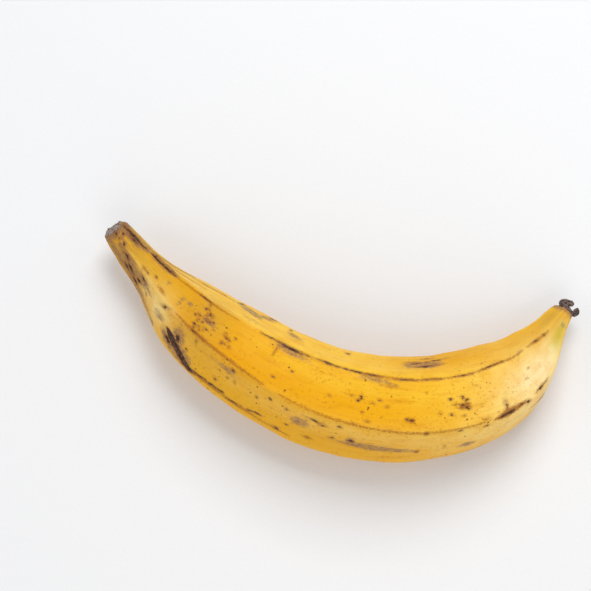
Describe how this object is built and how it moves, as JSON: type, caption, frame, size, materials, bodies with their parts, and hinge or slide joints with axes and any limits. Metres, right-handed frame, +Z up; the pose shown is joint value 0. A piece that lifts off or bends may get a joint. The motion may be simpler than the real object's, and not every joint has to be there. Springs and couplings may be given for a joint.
{
  "type": "plantain",
  "caption": "Whole ripe plantain, picked and lying on its side: a long five-cornered fruit bowed like a sickle, with a cut stalk and the dried flower at its end.",
  "frame": {"origin": "on the table, under the middle of the fruit's box", "axes": "+Z up, -X towards the cut stalk, +X towards the flower end, -Y on the outer side of the bow"},
  "size_m": [0.2328, 0.0964, 0.0467],
  "materials": {
    "peel": "waxy satin peel, golden yellow with brown ridge lines, bruises and speckles",
    "dried_tissue": "dry, dark brown, fibrous: the withered flower and the stalk's cut"
  },
  "bodies": {
    "root": {"fruit": "peel", "flower_remnant": "dried_tissue"}
  },
  "joints": []
}
